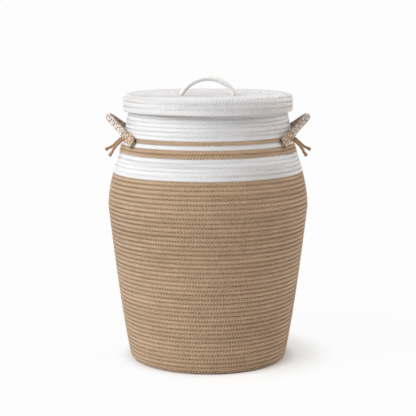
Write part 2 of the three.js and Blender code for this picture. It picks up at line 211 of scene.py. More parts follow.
def tube_blank(sides, steps, copies=1):
    """Straight tubes of unit radius side by side, one unit long for each step, closed at both ends."""
    blank = bmesh.new()
    unrolled = Matrix.Diagonal((steps / 2, math.pi, 1, 1))
    bmesh.ops.create_grid(blank, x_segments=steps, y_segments=sides, size=1, matrix=unrolled)
    for vert in blank.verts:
        vert.co = (vert.co.x + steps / 2, math.cos(vert.co.y), math.sin(vert.co.y))
    bmesh.ops.remove_doubles(blank, verts=blank.verts, dist=0.001)
    bmesh.ops.holes_fill(blank, edges=[edge for edge in blank.edges if edge.is_boundary])
    bmesh.ops.recalc_face_normals(blank, faces=blank.faces)
    made = 1
    while made < copies:
        extra = min(made, copies - made)
        source = [face for face in blank.faces if face.verts[0].co.y < blank_gap * (extra - 0.5)]
        copy = bmesh.ops.duplicate(blank, geom=source)["geom"]
        moved = [item for item in copy if isinstance(item, bmesh.types.BMVert)]
        bmesh.ops.translate(blank, verts=moved, vec=(0, blank_gap * made, 0))
        made += extra
    return blank


def shaped(blank, name, shape):
    """The blank bent to shape. That gives a place and a place on the rope for each vertex, from its
    step along the tube, its copy, and where it lies on the round section. Only the end caps, which
    have more than four corners, are shaded flat."""
    mesh = bpy.data.meshes.new(name)
    blank.to_mesh(mesh)
    blank.free()
    flat = np.empty(3 * len(mesh.vertices))
    mesh.vertices.foreach_get("co", flat)
    flat = flat.reshape(-1, 3)
    copy = np.round(flat[:, 1] / blank_gap)
    place, on_rope = shape(np.round(flat[:, 0]), copy, flat[:, 1] - copy * blank_gap, flat[:, 2])
    mesh.vertices.foreach_set("co", np.ascontiguousarray(place, dtype=np.float32).ravel())
    corner = np.empty(len(mesh.loops), dtype=np.int32)
    mesh.loops.foreach_get("vertex_index", corner)
    layer = mesh.uv_layers.new(name="rope")
    layer.uv.foreach_set("vector", np.ascontiguousarray(on_rope[corner], dtype=np.float32).ravel())
    corners = np.empty(len(mesh.polygons), dtype=np.int32)
    mesh.polygons.foreach_get("loop_total", corners)
    mesh.polygons.foreach_set("use_smooth", corners <= 4)
    mesh.update()
    return placed(name, mesh)


curve_points = 240
corner_points = 90


def bezier_run(*corners):
    """Points along the Bezier curve with those corners."""
    share = np.linspace(0, 1, curve_points)[:, None]
    points = [np.array(corner) for corner in corners]
    while len(points) > 1:
        points = [(1 - share) * first + share * last for first, last in zip(points, points[1:])]
    return points[0]


def arc_run(centre, radius, start, end):
    """Points along an arc, from one angle to the other."""
    angle = np.linspace(start, end, corner_points)
    return np.stack([centre[0] + radius * np.cos(angle), centre[1] + radius * np.sin(angle)], axis=1)


def joined(*runs):
    """The runs as one line of points, each starting where the last one ends."""
    return np.vstack([runs[0]] + [run[1:] for run in runs[1:]])


def lengths_along(points):
    """How far along the line each of its points lies."""
    steps = np.linalg.norm(np.diff(points, axis=0), axis=1)
    return np.concatenate([[0], np.cumsum(steps)])


turn_step = 0.01
step_share = 0.2


class Coil:
    """Rope wound turn on turn along a face. The face is seen in section, in radius and height,
    and a place on it is given by its distance along it and its depth inside it."""

    def __init__(self, points, inside, winding, reach, front_climb, first_turn, last_turn):
        self.points = points
        self.distance = lengths_along(points)
        way = np.gradient(points, self.distance, axis=0)
        self.way = inside * way / np.hypot(*way.T)[:, None]
        self.length = self.distance[-1]
        self.winding = winding
        self.reach = reach
        self.front_climb = front_climb
        self.turns = np.arange(first_turn, last_turn + turn_step / 2, turn_step)
        low, high = self.edges(self.turns)
        girth = 2 * math.pi * self.section((low + high) / 2, 0)[0]
        steps = (girth[1:] + girth[:-1]) / 2 * np.diff(self.turns)
        self.rope = np.concatenate([[0], np.cumsum(steps)])

    def climbed(self, turn):
        """The rope climbs gently round the front and steps up onto the turn below at the back."""
        slope = self.front_climb / (1 - step_share)
        whole = np.floor(turn)
        part = turn - whole
        x = np.clip((part - 1 + step_share) / step_share, 0, 1)
        stepped = (1 - self.front_climb) * (3 - 2 * x) * x ** 2
        levelled = slope * step_share * (2 * x ** 3 - 3 * x ** 2 + x)
        return whole + np.where(x > 0, self.front_climb + stepped + levelled, slope * part)

    def edges(self, turn):
        """How far along the face the rope's two edges lie."""
        low = np.clip(self.reach(self.climbed(turn)), 0, self.length)
        high = np.clip(self.reach(self.climbed(turn) + 1), 0, self.length)
        return low, high

    def section(self, distance, depth):
        """The radius and height of a place on the face or inside it."""
        x, z = (np.interp(distance, self.distance, self.points[:, axis]) for axis in (0, 1))
        way_x, way_z = (np.interp(distance, self.distance, self.way[:, axis]) for axis in (0, 1))
        return x - way_z * depth, z + way_x * depth

    def place(self, turn, distance, depth):
        """That place in the round. Turns are counted from the back."""
        radius, height = self.section(distance, depth)
        angle = self.winding * 2 * math.pi * turn
        return np.stack([-radius * np.sin(angle), radius * np.cos(angle), height], axis=1)

    def rope_at(self, turn):
        return np.interp(turn, self.turns, self.rope)

    def turn_at(self, rope):
        return np.interp(rope, self.rope, self.turns)


rope_thickness = 0.009
rope_sides = 16
steps_a_turn = 96
usual_radius = 0.15
step_length = 2 * math.pi * usual_radius / steps_a_turn
crowded_steps = 4
end_overlap = 0.15
end_rounding = 0.003


def wound_rope(name, coil, first_turn, last_turn, squareness, fullness):
    """The rope itself, pressed flat between its neighbours by the stitching. Its ends are rounded
    and pushed into the next colour's, and its rings crowd together there."""
    steps = round((last_turn - first_turn) * steps_a_turn)

    def shape(step, copy, up, out):
        to_end = np.minimum(step, steps - step)
        crowded = crowded_steps * np.clip(to_end / crowded_steps, 0, 1) ** 2.5
        drawn = crowded - np.minimum(to_end, crowded_steps) - end_overlap
        step = step + np.where(step < steps / 2, drawn, -drawn)
        turn = first_turn + (last_turn - first_turn) * step / steps
        low, high = coil.edges(turn)
        rounding = 2 / squareness
        across = np.sign(up) * np.abs(up) ** rounding * (high - low) / 2
        outward = np.sign(out) * np.abs(out) ** rounding
        from_tip = (np.minimum(step, steps - step) + end_overlap) * step_length
        tuck = np.sqrt(np.clip(from_tip / end_rounding, 0.05, 1))
        distance = (low + high) / 2 + across * fullness
        place = coil.place(turn, distance, rope_thickness / 2 * (1 - outward * tuck))
        return place, np.stack([coil.rope_at(turn), across], axis=1)

    return shaped(tube_blank(rope_sides, steps), name, shape)


stitch_spacing = 0.0059
stitch_reach = 0.0027
stitch_slant = 0.55
stitch_dive = 0.0009
stitch_steps = 4
thread_half_width = 0.00125
thread_half_thickness = 0.00045
thread_sides = 4


def sewn(name, coil, first_turn, last_turn, seed, depth_in_groove):
    """The stitches over the groove above each turn, each leaning the way the rope climbs. No two
    have quite the same size, place and depth."""
    first, last = coil.rope_at(first_turn), coil.rope_at(last_turn)
    count = int((last - first) / stitch_spacing)
    size, shift, sink = np.random.default_rng(seed).normal(0, 1, (3, count))

    def shape(step, copy, around, out):
        index = copy.astype(int)
        share = step / stitch_steps * 2 - 1
        across = share * stitch_reach * (1 + 0.08 * size[index])
        middle = first + (copy + 0.5 + 0.07 * shift[index]) * stitch_spacing
        width = thread_half_width * (1 + 0.15 * size[index]) * (1 - 0.5 * share ** 2)
        rope = middle + stitch_slant * across + width * around
        turn = coil.turn_at(rope)
        pressed = depth_in_groove * (1 + 0.2 * sink[index]) * (1 - 0.75 * np.abs(share) ** 1.5)
        depth = pressed + stitch_dive * np.abs(share) ** 6 - thread_half_thickness * out
        place = coil.place(turn, coil.edges(turn)[1] + across, depth)
        return place, np.stack([rope, across], axis=1)

    return shaped(tube_blank(thread_sides, stitch_steps, count), name, shape)


def mixed(share, first, second, way="MIX"):
    """One colour over another, by a share that may change over the surface."""
    colours = [colour if isinstance(colour, Wire) else (*colour, 1) for colour in (first, second)]
    inputs = {0: share, 6: colours[0], 7: colours[1]}
    return Wire.node("ShaderNodeMix", {"data_type": "RGBA", "blend_type": way}, inputs, 2)


def noise(vector, scale, detail=2.0, roughness=0.5):
    inputs = {"Vector": vector, "Scale": scale, "Detail": detail, "Roughness": roughness}
    return Wire.node("ShaderNodeTexNoise", None, inputs)


def at(x, y, z=0.0):
    return Wire.node("ShaderNodeCombineXYZ", None, {0: x, 1: y, 2: z})


def waves(phase):
    """Humps with a sharp valley at each whole number."""
    return (phase * math.pi).math("SINE").math("ABSOLUTE")


def metres_on_rope():
    """How far along its rope the surface is, and how far across it."""
    return split(Wire.node("ShaderNodeUVMap", {"uv_map": "rope"}))[:2]


def matt_surface(body, height, roughness, gloss, relief=1.0, fuzz=0.0):
    """The end of a finish: dull fibres of that colour, raised by so many millimetres."""
    bump = Wire.node("ShaderNodeBump", None, {"Strength": relief, "Distance": 0.001, "Height": height})
    shader = Wire.node("ShaderNodeBsdfPrincipled", None, {
        "Base Color": body, "Roughness": roughness, "Specular IOR Level": gloss, "Normal": bump,
        "Sheen Weight": fuzz, "Sheen Roughness": 0.45,
    })
    Wire.node("ShaderNodeOutputMaterial", None, {"Surface": shader})


strand_slant = 0.8
turn_tones = [(0.3, (0.83, 0.81, 0.79)), (0.5, (0.94, 0.935, 0.93)), (0.7, (1.0, 1.0, 1.0))]


def coiled_finish(name, pale, deep, gap_shade, strand_shade_share, groove_shade_share, strand_depth, fuzz=0.0):
    """Rope laid up from slanting strands, with painted shade in the gaps between strands and in the grooves
    between turns. It is worked out in millimetres along the rope and across it."""
    finish = finish_named(name)
    along, across = (metres * 1000 for metres in metres_on_rope())
    x, y, z = split(place_on_object())
    tone_of_turn = noise(at(x * 5, y * 5, z * 110), 1.0, 1.0)
    patch = noise(at(x * 28, y * 28, z * 60), 1.0, 2.0)
    from_edge = across - rope_thickness / 2 * 1000
    strand = waves((along - from_edge * strand_slant) / (stitch_spacing * 1000))
    over_strand, on_strand = along - across * strand_slant, across + along * strand_slant
    fibre = noise(at(over_strand * 1.5, on_strand * 0.22), 1.0, 2.0)
    fleck = noise(at(over_strand * 0.55, on_strand * 0.3), 1.0, 2.0, 0.6)
    body = mixed((fleck * 0.6 + fibre * 0.4).eased(0.4, 0.62), pale, deep)
    # Painted shade: the gaps between strands are coloured darker, in patches.
    gaps = strand.eased(0.1, 0.6, strand_shade_share, 0.0) * patch.eased(0.4, 0.6, 0.25, 1.0)
    body = mixed(gaps, body, gap_shade)
    # Painted shade along the groove between turns, in dots.
    dots = strand.eased(0.25, 0.8, 1.0, 0.35) * fleck.eased(0.3, 0.6, 0.7, 1.0)
    groove = across.math("ABSOLUTE").eased(2.9, 4.0)
    body = mixed(groove * dots * groove_shade_share, body, gap_shade)
    tone = Wire.node("ShaderNodeValToRGB", {"stops": turn_tones}, {0: tone_of_turn})
    height = strand.eased(0.0, 0.8) * strand_depth + fibre * 0.25 + fleck * 0.35
    matt_surface(mixed(1.0, body, tone, "MULTIPLY"), height, 0.92, 0.2, fuzz=fuzz)
    return finish


foot_radius = 0.1488
foot_corner = 0.010
foot_flare = 0.2
taper_control = 0.100
belly_radius = 0.200
belly_height = 0.308
shoulder_roundness = 0.070
neck_length = 0.095
neck_lean = 0.12
rim_radius = 0.1545
rim_height = 0.524
flare_angle = math.atan(foot_flare)
taper_radius = foot_radius + foot_corner * math.cos(flare_angle)
taper_height = foot_corner * (1 - math.sin(flare_angle))
belly = (belly_radius, belly_height)
wall_points = joined(
    bezier_run((0, 0), (foot_radius, 0)),
    arc_run((foot_radius, foot_corner), foot_corner, -math.pi / 2, -flare_angle),
    bezier_run(
        (taper_radius, taper_height),
        (taper_radius + foot_flare * (taper_control - taper_height), taper_control), belly,
    ),
    bezier_run(
        belly, (belly_radius, belly_height + shoulder_roundness),
        (rim_radius + neck_lean * neck_length, rim_height - neck_length), (rim_radius, rim_height),
    ),
)
body_turns = 45
turns_to_rim = 63
body_top_height = 0.3763
base_edge_inset = 0.001
wall_lengths = lengths_along(wall_points)
body_top = float(np.interp(body_top_height, wall_points[:, 1], wall_lengths))
body_pitch = (body_top - foot_radius + base_edge_inset) / (body_turns - 1)
upper_pitch = (wall_lengths[-1] - body_top) / (turns_to_rim - body_turns)
wall_start = foot_radius - base_edge_inset - body_pitch
middle_turn = -wall_start / body_pitch
spiral_start = -0.14
stitch_start = 1.35


def wall_reach(turn):
    """How far along the wall's face so many turns reach, from the middle of the base."""
    below = wall_start + body_pitch * turn
    return np.where(turn <= body_turns, below, body_top + upper_pitch * (turn - body_turns))


def dressed(piece, body, finish, slot, *nodes):
    """The piece in its finish, on the body that carries it, in place of the nodes that it shows."""
    piece.data.materials.append(finish)
    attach(piece, body)
    if nodes:
        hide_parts(*nodes)
    return piece


wall = Coil(
    wall_points, inside=1, winding=1, reach=wall_reach, front_climb=0.5,
    first_turn=middle_turn + spiral_start - turn_step, last_turn=turns_to_rim,
)
# In these two finishes the third colour is painted shade, for the gaps between strands and the grooves
# between turns.
jute = coiled_finish(
    "jute_rope", (0.68, 0.49, 0.325), (0.36, 0.23, 0.13), (0.05, 0.022, 0.008),
    strand_shade_share=0.5, groove_shade_share=1.0, strand_depth=0.8, fuzz=0.3,
)
jute_thread = coiled_finish(
    "jute_thread", (0.70, 0.51, 0.34), (0.46, 0.305, 0.185), (0.24, 0.15, 0.09),
    strand_shade_share=0.2, groove_shade_share=0.0, strand_depth=0.2, fuzz=0.25,
)
jute_form = {"squareness": 2.2, "fullness": 1.035}
jute_stitch_depth = 0.0008
base_rope = wound_rope("base_rope", wall, middle_turn + spiral_start, 0, **jute_form)
dressed(base_rope, "basket", jute, "jute_coils", "base_coils")
base_stitches = sewn("base_stitches", wall, middle_turn + stitch_start, 0, 1, jute_stitch_depth)
dressed(base_stitches, "basket", jute_thread, "jute_coils")

# Body. Forty-five turns of the same jute rope, from the rounded edge of the base up to the
# shoulder, each sewn to the turn below it. The stitches are two pieces, which meet half way up.
half_way_turn = 23
body_rope = wound_rope("body_rope", wall, 0, body_turns, **jute_form)
dressed(body_rope, "basket", jute, "jute_coils", "body_coils")
for name, first, last, seed in (("lower", 0, half_way_turn, 2), ("upper", half_way_turn, body_turns, 3)):
    stitches = sewn(f"{name}_body_stitches", wall, first, last, seed, jute_stitch_depth)
    dressed(stitches, "basket", jute_thread, "jute_coils")

# Shoulder, stripes and neck. White cotton rope takes over from the jute for five turns, then come
# two turns of jute, one of cotton and one of jute, and cotton again for the neck and its rim.
# In these two finishes the third colour is painted shade, for the gaps between strands and the grooves
# between turns.
cotton = coiled_finish(
    "cotton_rope", (0.88, 0.88, 0.89), (0.80, 0.80, 0.81), (0.66, 0.63, 0.62),
    strand_shade_share=0.65, groove_shade_share=0.7, strand_depth=0.9,
)
cotton_thread = coiled_finish(
    "cotton_thread", (0.88, 0.88, 0.89), (0.80, 0.80, 0.81), (0.60, 0.57, 0.55),
    strand_shade_share=0.2, groove_shade_share=0.0, strand_depth=0.3,
)
cotton_form = {"squareness": 4.0, "fullness": 1.10}
cotton_stitch_depth = 0.0005
jute_run = (jute, jute_thread, jute_form, jute_stitch_depth, "jute_coils")
cotton_run = (cotton, cotton_thread, cotton_form, cotton_stitch_depth, "cotton_coils")
upper_runs = (
    ("shoulder", 5, cotton_run, "shoulder_coils"),
    ("lower_stripe", 2, jute_run, "lower_stripe_coils"),
    ("spacer", 1, cotton_run, "spacer_coil"),
    ("upper_stripe", 1, jute_run, "upper_stripe_coil"),
    ("neck", 9, cotton_run, "neck_coils"),
)
rope_short_of_rim = 0.04
last = body_turns
for name, turns, (finish, thread, form, depth, slot), node in upper_runs:
    first, last = last, last + turns
    at_rim = last == turns_to_rim
    rope = wound_rope(f"{name}_rope", wall, first, last - at_rim * rope_short_of_rim, **form)
    dressed(rope, "basket", finish, slot, node)
    stitches = sewn(f"{name}_stitches", wall, first, last - at_rim, first, depth)
    dressed(stitches, "basket", thread, slot)

# Lid. A slightly dished disc of white cotton rope that turns over a rounded edge into a skirt of
# three turns round the neck. It winds the other way and rests on the rim.
lid_radius = 0.1687
lid_corner = 0.010
lid_dish = 0.006
lid_skirt = 0.0342
lid_seat_gap = 0.0003
edge_slope = math.atan(2 * lid_dish / (lid_radius - lid_corner))
lid_edge_radius = lid_radius - lid_corner * (1 + math.sin(edge_slope))
lid_rise = lid_edge_radius * math.tan(edge_slope) / 2
rise_over_rim = lid_rise * (rim_radius / lid_edge_radius) ** 2
lid_middle = rim_height + lid_seat_gap + rope_thickness - rise_over_rim
lid_edge = lid_middle + lid_rise
corner_height = lid_edge - lid_corner * math.cos(edge_slope)
lid_points = joined(
    bezier_run((0, lid_middle), (lid_edge_radius / 2, lid_middle), (lid_edge_radius, lid_edge)),
    arc_run((lid_radius - lid_corner, corner_height), lid_corner, math.pi / 2 + edge_slope, 0),
    bezier_run((lid_radius, corner_height), (lid_radius, lid_edge - lid_skirt)),
)
lid_top_turns = 15
lid_turns = 21
lid_edge_rope = 0.012
lid_length = lengths_along(lid_points)[-1]
lid_pitch = (lid_length - lid_edge_rope) / (lid_turns - 1)
rope_short_of_edge = 0.03


def lid_reach(turn):
    """How far along the lid's face so many turns reach. The last one is wider, round its edge."""
    return np.where(turn <= lid_turns - 1, lid_pitch * turn, lid_length - lid_edge_rope * (lid_turns - turn))


lid = Coil(
    lid_points, inside=-1, winding=-1, reach=lid_reach, front_climb=0.1,
    first_turn=-1, last_turn=lid_turns,
)
for name, start, first, last, sewn_to, seed in (
    ("lid_top", spiral_start, 0, lid_top_turns, lid_top_turns, 70),
    ("lid_rim", lid_top_turns, lid_top_turns, lid_turns - rope_short_of_edge, lid_turns - 1, 71),
):
    rope = wound_rope(f"{name}_rope", lid, start, last, **cotton_form)
    dressed(rope, "lid", cotton, "cotton_coils", f"{name}_coils")
    stitches = sewn(f"{name}_stitches", lid, first, sewn_to, seed, cotton_stitch_depth)
    dressed(stitches, "lid", cotton_thread, "cotton_coils")

# Lid handle. A smooth white cord, ten millimetres thick, bent into a low arch. Its ends go down
# through the lid and are knotted below it.
cord_radius = 0.0051
cord_half_span = 0.0512
cord_rise = 0.034
cord_sides = 20
arch_steps = 90
yarn_spacing = 1.6
cord_tilt = math.radians(60)
tilted_gap = 0.0006


def cord_finish(name, pale, deep):
    """A fine close braid, with short slanting yarns."""
    finish = finish_named(name)
    along, across = (metres * 1000 for metres in metres_on_rope())
    one, other = waves((along + across) / yarn_spacing), waves((along - across) / yarn_spacing)
    weave = one.math("MAXIMUM", other)
    fuzz = noise(at(along * 0.8, across * 0.8), 1.0, 3.0)
    # Painted shade: the valleys between the yarns are coloured darker.
    body = mixed(weave.eased(0.4, 0.95, 0.55, 0.0) + fuzz.eased(0.4, 0.8) * 0.3, pale, deep)
    matt_surface(body, weave * 0.12 + fuzz * 0.1, 0.8, 0.3)
    return finish


def unit(vectors):
    """The same ways, each with length one."""
    return vectors / np.linalg.norm(vectors, axis=-1, keepdims=True)


def tube_along(name, points, radii, sides, seen_from=(0, 0, 1), ridges=None):
    """A tube along points, with a radius at each and ridges that may wind round it."""
    points, radii = np.array(points), np.array(radii)
    way = unit(np.gradient(points, axis=0))
    side = unit(np.cross(way, np.array(seen_from)))
    over = np.cross(side, way)
    run = lengths_along(points)

    def shape(step, copy, first, second):
        index = step.astype(int)
        angle = np.arctan2(second, first)
        size = radii[index]
        if ridges:
            size = size * ridges(angle, run[index])
        out = side[index] * (size * np.cos(angle))[:, None] + over[index] * (size * np.sin(angle))[:, None]
        across = radii[index] * np.sin(angle / 2) * 2
        return points[index] + out, np.stack([run[index], across], axis=1)

    return shaped(tube_blank(sides, len(points) - 1), name, shape)


def rounded_end(distance, radius):
    """Share of the radius left at this distance from a rounded end."""
    return np.sqrt(np.clip(1 - (1 - np.clip(distance / radius, 0.02, 1)) ** 2, 0, 1))


white_cord = cord_finish("white_cord", (0.88, 0.87, 0.845), (0.79, 0.775, 0.745))
lid_at_foot = float(lid.section(cord_half_span, 0)[1])
pivot_over_lid = cord_radius * math.sin(cord_tilt) + tilted_gap
apex_rise = cord_rise - pivot_over_lid
arch_radius = (cord_half_span ** 2 + apex_rise ** 2) / (2 * apex_rise)
arch_half = math.asin(cord_half_span / arch_radius) + cord_radius / arch_radius
angle = np.linspace(-arch_half, arch_half, arch_steps)
arch_points = np.stack([
    arch_radius * np.sin(angle), 0 * angle, lid_at_foot + cord_rise - arch_radius * (1 - np.cos(angle)),
], axis=1)
arch_radii = cord_radius * rounded_end(arch_radius * (arch_half - np.abs(angle)), cord_radius)
arch = tube_along("lid_handle", arch_points, arch_radii, cord_sides, (0, 1, 0))
dressed(arch, "lid_handle", white_cord, "lid_cord", "lid_handle_cord")

# Knots of the lid handle. Each end of the cord comes out below the lid and is tied in a knot, too
# thick to slip back through the rope.
lid_knot_swing = 0.0045
lid_knot_bulge = 0.0016
lid_knot_rise = 0.003
lid_knot_below_face = 0.0095
lid_knot_cord_radius = 0.0026
lid_knot_steps = 120
stem_start = 0.004
stem_steps = 16
stem_step = 0.0012
stem_below_face = 0.0002
knot_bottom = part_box("lid_handle_left_knot")[0][2]
knot_top = lid_at_foot - lid_knot_below_face
for name, x in (("left", -cord_half_span), ("right", cord_half_span)):
    turn = np.linspace(0, 2 * math.pi, lid_knot_steps)
    swing = lid_knot_swing + lid_knot_bulge * np.cos(3 * turn)
    looped = np.stack([
        x + swing * np.cos(2 * turn), swing * np.sin(2 * turn),
        (knot_bottom + knot_top) / 2 + lid_knot_rise * np.sin(3 * turn),
    ], axis=1)
    loops = tube_along(f"lid_{name}_knot", looped, np.full(lid_knot_steps, lid_knot_cord_radius), 12)
    dressed(loops, "lid", white_cord, "lid_cord", f"lid_handle_{name}_knot")
    heights = knot_bottom + stem_start + stem_step * np.arange(stem_steps)
    stem_points = [(x, 0, height) for height in heights if height < lid_at_foot - stem_below_face]
    stem_radii = np.full(len(stem_points), cord_radius)
    stem = tube_along(f"lid_{name}_stem", stem_points, stem_radii, 16, (1, 0, 0))
    dressed(stem, "lid", white_cord, "lid_cord")

# Side handles. Each is a rope braided round a core from twelve yarns each way, white and jute,
# bent into a loop that stands out and up from the wall. It swings about its two feet.
handle_rope_radius = 0.0076
handle_height = 0.4575
handle_spread = math.radians(22.4)
handle_stand_off = 0.0102
handle_tilt = math.radians(41)
handle_reach = 0.0433
loop_foot = (0.0375, 0.003)
loop_top_side = 0.017
braid_lay = 0.045
braid_step = 0.0013
yarns_each_way = 12
yarn_width = 0.0030
yarn_thickness = 0.0024
yarn_swing = 0.0006
yarn_sides = 8
yarn_wobble = 0.05
wobble_length = 0.006
crossing_sharpness = 2.2
full_thickness = 0.0045


def braid_finish(name, white, tan, dark, tan_spread, inner_shade):
    """Soft yarns, white and jute, that run into each other in places. On the inner side of a bend, painted
    shade makes the yarns mostly jute and darker."""
    finish = finish_named(name)
    yarn = metres_on_rope()[1]
    is_tan = yarn.math("GREATER_THAN", 0.9)
    inner = (yarn - is_tan) * 2
    here = place_on_object()
    fuzz = noise(here, 620.0, 3.0)
    patch = noise(here, 300.0, 1.0)
    # Painted shade: more jute on the inner side of the bend.
    shaded_inner_jute = inner.eased(0.3, 0.9) * patch.eased(0.36, 0.56) * inner_shade
    hidden = patch.eased(0.42, 0.56) * tan_spread + shaded_inner_jute
    tan_share = is_tan.math("MAXIMUM", hidden) * patch.eased(0.30, 0.42, 0.4, 1.0)
    body = mixed(tan_share.math("MINIMUM", 1.0), white, tan)
    body = mixed(fuzz.eased(0.46, 0.68) * 0.5, body, tuple(part * 0.6 for part in tan))
    # Painted shade: the inner side of the bend coloured darker.
    body = mixed(inner.eased(0.2, 0.8) * (inner_shade * 0.45), body, dark)
    matt_surface(body, fuzz * 0.5 + patch * 0.3, 0.9, 0.25, relief=0.8)
    return finish


def resampled(points, spacing):
    """The line in even steps, and how far along it each new point lies."""
    points = np.array(points)
    run = lengths_along(points)
    places = np.linspace(0, run[-1], round(run[-1] / spacing) + 1)
    return np.stack([np.interp(places, run, points[:, axis]) for axis in range(3)], axis=1), places


def braided(name, points, outer, wide, thick, shift=0.0):
    """Yarns round a core, twelve each way, that pass over two and under two. Six of one twelve are
    jute and three of the other. The section is so wide and so thick."""
    path, run = resampled(points, braid_step)
    way = unit(np.gradient(path, axis=0))
    beside = unit(np.cross(outer(path), way))
    outer = np.cross(way, beside)
    width, thickness = wide(run), thick(run)
    wander = np.random.default_rng(len(path)).normal(0, 1, 2 * yarns_each_way)
    centres, normals = [], []
    for index in range(2 * yarns_each_way):
        turn_way = 1 if index < yarns_each_way else -1
        wound = 2 * math.pi * (turn_way * (run + shift) / braid_lay + index / yarns_each_way)
        angle = wound + yarn_wobble * np.sin(run / wobble_length + wander[index] * 3)
        crossing = np.sin(wound * yarns_each_way / 2 + math.pi / 4)
        over = turn_way * np.tanh(crossing_sharpness * crossing) / np.tanh(crossing_sharpness)
        inset = yarn_thickness / 2 + yarn_swing * (1 - over)
        cosine, sine = np.cos(angle), np.sin(angle)
        out = cosine * (thickness - inset * np.minimum(1, thickness / full_thickness))
        aside = sine * (width - inset * np.minimum(1, width / full_thickness))
        centres.append(path + outer * out[:, None] + beside * aside[:, None])
        normals.append(unit(outer * (cosine / thickness)[:, None] + beside * (sine / width)[:, None]))
    centres, normals = np.array(centres), np.array(normals)
    yarn_way = unit(np.gradient(centres, axis=1))
    across = unit(np.cross(yarn_way, normals))
    upward = np.cross(across, yarn_way)
    spread = np.sqrt(width / handle_rope_radius)
    flatness = np.minimum(1, thickness / full_thickness)
    # How far each yarn faces the inner side of the bend, for the painted shade there.
    inner = 0.25 - 0.25 * (normals * outer[None]).sum(axis=2)

    def yarn_shape(step, copy, first, second):
        row, column = copy.astype(int), step.astype(int)
        from_side = (first * yarn_width / 2 * spread[column])[:, None] * across[row, column]
        from_middle = (second * yarn_thickness / 2 * flatness[column])[:, None] * upward[row, column]
        place = centres[row, column] + from_side + from_middle
        is_tan = np.where(row < yarns_each_way, row % 2, row % 4 == 1)
        return place, np.stack([run[column], is_tan + inner[row, column]], axis=1)

    def core_shape(step, copy, first, second):
        column = step.astype(int)
        inside = yarn_thickness * 0.8
        out = first * np.maximum(thickness[column] - inside, thickness[column] * 0.3)
        aside = second * np.maximum(width[column] - inside, width[column] * 0.3)
        place = path[column] + outer[column] * out[:, None] + beside[column] * aside[:, None]
        return place, np.stack([run[column], 1 + 0 * first], axis=1)

    steps = len(path) - 1
    yarns = shaped(tube_blank(yarn_sides, steps, 2 * yarns_each_way), name, yarn_shape)
    core = shaped(tube_blank(rope_sides, steps), f"{name}_core", core_shape)
    return yarns, core


to_left, to_back = (-1, 1, 1), (1, -1, 1)


def mirrored(piece, name, way):
    """The same piece for the other side."""
    mesh = piece.data.copy()
    copy = bmesh.new()
    copy.from_mesh(mesh)
    bmesh.ops.scale(copy, vec=way, verts=copy.verts)
    bmesh.ops.reverse_faces(copy, faces=copy.faces)
    copy.to_mesh(mesh)
    copy.free()
    return placed(name, mesh)


wall_foot = 0.15
wall_samples = 600
wall_radii, wall_heights = wall.section(np.linspace(wall_foot, wall.length, wall_samples), 0)


def wall_radius_at(height):
    """The wall's outside radius at this height above the rounded edge of the base."""
    return np.interp(height, wall_heights, wall_radii)


pivot_radius = float(wall_radius_at(handle_height)) + handle_stand_off
pivot_out = pivot_radius * math.cos(handle_spread)
pivot_side = pivot_radius * math.sin(handle_spread)
reach_way = np.array((math.cos(handle_tilt), 0, math.sin(handle_tilt)))
half_loop = bezier_run((pivot_side, 0), loop_foot, (loop_top_side, handle_reach), (0, handle_reach))
aside = np.concatenate([-half_loop[:, 0], half_loop[-2::-1, 0]])
reach = np.concatenate([half_loop[:, 1], half_loop[-2::-1, 1]])
loop_points = np.stack([
    pivot_out + reach * reach_way[0], aside, handle_height + reach * reach_way[2],
], axis=1)
stub = 0.0055
stub_end = loop_points[0] + unit(loop_points[0] - loop_points[1]) * stub
loop_points = np.vstack([stub_end, loop_points, stub_end * to_back])
loop_run = float(lengths_along(loop_points)[-1])


def loop_outer(path):
    """The loop's outer side."""
    way = np.gradient(path, axis=0)
    return np.cross(way, np.array((-reach_way[2], 0, reach_way[0])))


def loop_radius(run):
    """Full all along, and rounded as a ball about the pivots at both feet."""
    beyond = np.clip(stub - np.minimum(run, loop_run - run), 0, None)
    return np.sqrt(handle_rope_radius ** 2 - beyond ** 2)


white_yarn = (0.88, 0.84, 0.80)
tan_yarn = (0.34, 0.21, 0.13)
# The core's dark browns are painted shade, seen in the gaps between the yarns.
core_tan, core_shade = (0.30, 0.19, 0.12), (0.20, 0.12, 0.07)
# Its last colour and last share are the painted shade on the inner side of each bend.
loop_finish = braid_finish("braided_rope", white_yarn, tan_yarn, (0.22, 0.135, 0.08), 0.3, 0.75)
core_finish = braid_finish("rope_core", (0.36, 0.24, 0.15), core_tan, core_shade, 0.5, 1.0)
loop, core = braided("right_handle", loop_points, loop_outer, loop_radius, loop_radius)
left_loop = mirrored(loop, "left_handle", to_left)
dressed(loop, "right_handle", loop_finish, "braided_rope", "right_handle_rope")
dressed(left_loop, "left_handle", loop_finish, "braided_rope", "left_handle_rope")
left_core = mirrored(core, "left_handle_core", to_left)
dressed(core, "right_handle", core_finish, "braided_rope")
dressed(left_core, "left_handle", core_finish, "braided_rope")

# Rope ends. The same rope runs on from each foot of the loop along the wall, where it is pressed flat and
# sewn down. Short loops of thread hold its two corners, coloured near black as painted shade where the
# rope's end meets the wall.
rope_end_set_back = 0.0035
rope_end_drop = 0.017
rope_end_splay = 0.039
rope_end_half_width = 0.0104
rope_end_half_thickness = 0.0046
rope_end_gap = 0.0002
rope_end_steps = 100
rounded_width = 0.010
rounded_thickness = 0.004
pinched_foot = 0.004
flattening_start = -0.002
flattening_share = 0.6
slope_reach = 0.004
end_angle = handle_spread + rope_end_splay / pivot_radius


def beside_wall(angle, height, stand_off):
    """Places in front on the right, by the angle from the X axis, height and distance off the wall."""
    radius = wall_radius_at(height) + stand_off
    return np.stack([radius * np.cos(angle), -radius * np.sin(angle), height + 0 * radius], axis=-1)


